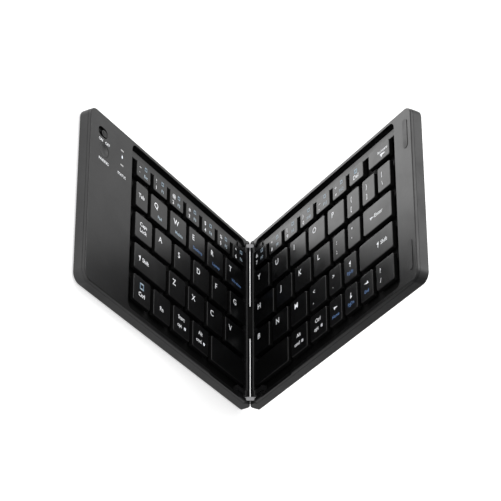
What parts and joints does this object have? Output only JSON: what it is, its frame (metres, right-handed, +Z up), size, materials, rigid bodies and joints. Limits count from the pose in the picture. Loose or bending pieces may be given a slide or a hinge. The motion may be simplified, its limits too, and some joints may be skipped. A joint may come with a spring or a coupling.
{
  "type": "folding keyboard",
  "caption": "Pocket keyboard in two halves on a double-pin link hinge, shown half folded, with low caps in sunken wells and a control panel.",
  "frame": {"origin": "middle of the box of the half-folded keyboard, on the surface under the feet of the left half", "axes": "+X from the panel side towards the hinge, +Y towards the number row, +Z up; the left half lies flat and the right half is folded up over it"},
  "size_m": [0.1492, 0.0936, 0.1364],
  "materials": {
    "case_plastic": "fine satin",
    "frame_plastic": "fine satin",
    "cap_plastic": "smooth satin",
    "plate_metal": "black paint",
    "membrane_film": "clear film",
    "dome_rubber": "soft",
    "scissor_plastic": "smooth",
    "board": "solder mask",
    "cell_foil": "foil pouch",
    "bright_steel": "bright",
    "link_metal": "satin",
    "switch_plastic": "smooth",
    "window": "frosted",
    "foot_rubber": "matt",
    "cover_plastic": "matt",
    "flex_film": "film"
  },
  "bodies": {
    "left_half": {"left_bottom_case": "case_plastic", "left_top_frame": "frame_plastic", "left_key_plate": "plate_metal", "left_membrane": "membrane_film", "left_rubber_domes": "dome_rubber", "left_scissor_frames": "scissor_plastic", "main_board": "board", "battery": "cell_foil", "charging_port": "bright_steel", "slide_switch": "switch_plastic", "connect_switch": "switch_plastic", "indicator_light_pipes": "window", "left_feet": "foot_rubber", "left_case_screws": "bright_steel", "left_hinge_pins": "bright_steel"},
    "power_knob": {"power_switch_knob": "frame_plastic"},
    "round_button": {"connect_button": "frame_plastic"},
    "hinge_links": {"front_hinge_link": "link_metal", "rear_hinge_link": "link_metal", "center_hinge_cover": "cover_plastic", "flex_cable": "flex_film"},
    "right_half": {"right_bottom_case": "case_plastic", "right_top_frame": "frame_plastic", "right_key_plate": "plate_metal", "right_membrane": "membrane_film", "right_rubber_domes": "dome_rubber", "right_scissor_frames": "scissor_plastic", "right_feet": "foot_rubber", "right_case_screws": "bright_steel", "right_hinge_pins": "bright_steel", "face_bumpers": "foot_rubber"},
    "tab_key_body": {"tab_key": "cap_plastic"},
    "caps_lock_key_body": {"caps_lock_key": "cap_plastic"},
    "left_shift_key_body": {"left_shift_key": "cap_plastic"},
    "left_ctrl_key_body": {"left_ctrl_key": "cap_plastic"},
    "fn_key_body": {"fn_key": "cap_plastic"},
    "start_key_body": {"start_key": "cap_plastic"},
    "left_alt_key_body": {"left_alt_key": "cap_plastic"},
    "left_space_key_body": {"left_space_key": "cap_plastic"},
    "left_number_keys_body": {"left_number_keys": "cap_plastic"},
    "left_upper_letter_keys_body": {"left_upper_letter_keys": "cap_plastic"},
    "left_home_letter_keys_body": {"left_home_letter_keys": "cap_plastic"},
    "left_lower_letter_keys_body": {"left_lower_letter_keys": "cap_plastic"},
    "delete_key_body": {"delete_key": "cap_plastic"},
    "backspace_key_body": {"backspace_key": "cap_plastic"},
    "enter_key_body": {"enter_key": "cap_plastic"},
    "right_shift_key_body": {"right_shift_key": "cap_plastic"},
    "right_space_key_body": {"right_space_key": "cap_plastic"},
    "right_alt_key_body": {"right_alt_key": "cap_plastic"},
    "right_ctrl_key_body": {"right_ctrl_key": "cap_plastic"},
    "arrow_up_key_body": {"arrow_up_key": "cap_plastic"},
    "arrow_down_key_body": {"arrow_down_key": "cap_plastic"},
    "arrow_left_key_body": {"arrow_left_key": "cap_plastic"},
    "arrow_right_key_body": {"arrow_right_key": "cap_plastic"},
    "slash_key_body": {"slash_key": "cap_plastic"},
    "right_number_keys_body": {"right_number_keys": "cap_plastic"},
    "right_upper_letter_keys_body": {"right_upper_letter_keys": "cap_plastic"},
    "right_home_letter_keys_body": {"right_home_letter_keys": "cap_plastic"},
    "right_lower_letter_keys_body": {"right_lower_letter_keys": "cap_plastic"},
    "narrow_punctuation_keys_body": {"narrow_punctuation_keys": "cap_plastic"}
  },
  "joints": [
    {"name": "fold_left", "type": "hinge", "parent": "left_half", "child": "hinge_links", "pos_m": [0.06723, 0, 0.0046], "axis": [0, -1, 0], "range_deg": [-58.9, 31.1]},
    {"name": "fold_right", "type": "hinge", "parent": "hinge_links", "child": "right_half", "pos_m": [0.07008, 0, 0.00931], "axis": [0, -1, 0], "range_deg": [-58.9, 31.1]},
    {"name": "power_slide", "type": "slide", "parent": "left_half", "child": "power_knob", "axis": [-1, 0, 0], "range_m": [0, 0.003]},
    {"name": "connect_press", "type": "slide", "parent": "left_half", "child": "round_button", "axis": [0, 0, -1], "range_m": [0, 0.0004], "stiffness_N_per_m": 800},
    {"name": "tab_key_press", "type": "slide", "parent": "left_half", "child": "tab_key_body", "axis": [0, 0, -1], "range_m": [0, 0.0012], "stiffness_N_per_m": 400},
    {"name": "caps_lock_key_press", "type": "slide", "parent": "left_half", "child": "caps_lock_key_body", "axis": [0, 0, -1], "range_m": [0, 0.0012], "stiffness_N_per_m": 400},
    {"name": "left_shift_key_press", "type": "slide", "parent": "left_half", "child": "left_shift_key_body", "axis": [0, 0, -1], "range_m": [0, 0.0012], "stiffness_N_per_m": 400},
    {"name": "left_ctrl_key_press", "type": "slide", "parent": "left_half", "child": "left_ctrl_key_body", "axis": [0, 0, -1], "range_m": [0, 0.0012], "stiffness_N_per_m": 400},
    {"name": "fn_key_press", "type": "slide", "parent": "left_half", "child": "fn_key_body", "axis": [0, 0, -1], "range_m": [0, 0.0012], "stiffness_N_per_m": 400},
    {"name": "start_key_press", "type": "slide", "parent": "left_half", "child": "start_key_body", "axis": [0, 0, -1], "range_m": [0, 0.0012], "stiffness_N_per_m": 400},
    {"name": "left_alt_key_press", "type": "slide", "parent": "left_half", "child": "left_alt_key_body", "axis": [0, 0, -1], "range_m": [0, 0.0012], "stiffness_N_per_m": 400},
    {"name": "left_space_key_press", "type": "slide", "parent": "left_half", "child": "left_space_key_body", "axis": [0, 0, -1], "range_m": [0, 0.0012], "stiffness_N_per_m": 400},
    {"name": "left_number_keys_press", "type": "slide", "parent": "left_half", "child": "left_number_keys_body", "axis": [0, 0, -1], "range_m": [0, 0.0012], "stiffness_N_per_m": 400},
    {"name": "left_upper_letter_keys_press", "type": "slide", "parent": "left_half", "child": "left_upper_letter_keys_body", "axis": [0, 0, -1], "range_m": [0, 0.0012], "stiffness_N_per_m": 400},
    {"name": "left_home_letter_keys_press", "type": "slide", "parent": "left_half", "child": "left_home_letter_keys_body", "axis": [0, 0, -1], "range_m": [0, 0.0012], "stiffness_N_per_m": 400},
    {"name": "left_lower_letter_keys_press", "type": "slide", "parent": "left_half", "child": "left_lower_letter_keys_body", "axis": [0, 0, -1], "range_m": [0, 0.0012], "stiffness_N_per_m": 400},
    {"name": "delete_key_press", "type": "slide", "parent": "right_half", "child": "delete_key_body", "axis": [0.8846, 0, 0.4664], "range_m": [0, 0.0012], "stiffness_N_per_m": 400},
    {"name": "backspace_key_press", "type": "slide", "parent": "right_half", "child": "backspace_key_body", "axis": [0.8846, 0, 0.4664], "range_m": [0, 0.0012], "stiffness_N_per_m": 400},
    {"name": "enter_key_press", "type": "slide", "parent": "right_half", "child": "enter_key_body", "axis": [0.8846, 0, 0.4664], "range_m": [0, 0.0012], "stiffness_N_per_m": 400},
    {"name": "right_shift_key_press", "type": "slide", "parent": "right_half", "child": "right_shift_key_body", "axis": [0.8846, 0, 0.4664], "range_m": [0, 0.0012], "stiffness_N_per_m": 400},
    {"name": "right_space_key_press", "type": "slide", "parent": "right_half", "child": "right_space_key_body", "axis": [0.8846, 0, 0.4664], "range_m": [0, 0.0012], "stiffness_N_per_m": 400},
    {"name": "right_alt_key_press", "type": "slide", "parent": "right_half", "child": "right_alt_key_body", "axis": [0.8846, 0, 0.4664], "range_m": [0, 0.0012], "stiffness_N_per_m": 400},
    {"name": "right_ctrl_key_press", "type": "slide", "parent": "right_half", "child": "right_ctrl_key_body", "axis": [0.8846, 0, 0.4664], "range_m": [0, 0.0012], "stiffness_N_per_m": 400},
    {"name": "arrow_up_key_press", "type": "slide", "parent": "right_half", "child": "arrow_up_key_body", "axis": [0.8846, 0, 0.4664], "range_m": [0, 0.0012], "stiffness_N_per_m": 400},
    {"name": "arrow_down_key_press", "type": "slide", "parent": "right_half", "child": "arrow_down_key_body", "axis": [0.8846, 0, 0.4664], "range_m": [0, 0.0012], "stiffness_N_per_m": 400},
    {"name": "arrow_left_key_press", "type": "slide", "parent": "right_half", "child": "arrow_left_key_body", "axis": [0.8846, 0, 0.4664], "range_m": [0, 0.0012], "stiffness_N_per_m": 400},
    {"name": "arrow_right_key_press", "type": "slide", "parent": "right_half", "child": "arrow_right_key_body", "axis": [0.8846, 0, 0.4664], "range_m": [0, 0.0012], "stiffness_N_per_m": 400},
    {"name": "slash_key_press", "type": "slide", "parent": "right_half", "child": "slash_key_body", "axis": [0.8846, 0, 0.4664], "range_m": [0, 0.0012], "stiffness_N_per_m": 400},
    {"name": "right_number_keys_press", "type": "slide", "parent": "right_half", "child": "right_number_keys_body", "axis": [0.8846, 0, 0.4664], "range_m": [0, 0.0012], "stiffness_N_per_m": 400},
    {"name": "right_upper_letter_keys_press", "type": "slide", "parent": "right_half", "child": "right_upper_letter_keys_body", "axis": [0.8846, 0, 0.4664], "range_m": [0, 0.0012], "stiffness_N_per_m": 400},
    {"name": "right_home_letter_keys_press", "type": "slide", "parent": "right_half", "child": "right_home_letter_keys_body", "axis": [0.8846, 0, 0.4664], "range_m": [0, 0.0012], "stiffness_N_per_m": 400},
    {"name": "right_lower_letter_keys_press", "type": "slide", "parent": "right_half", "child": "right_lower_letter_keys_body", "axis": [0.8846, 0, 0.4664], "range_m": [0, 0.0012], "stiffness_N_per_m": 400},
    {"name": "narrow_punctuation_keys_press", "type": "slide", "parent": "right_half", "child": "narrow_punctuation_keys_body", "axis": [0.8846, 0, 0.4664], "range_m": [0, 0.0012], "stiffness_N_per_m": 400}
  ]
}
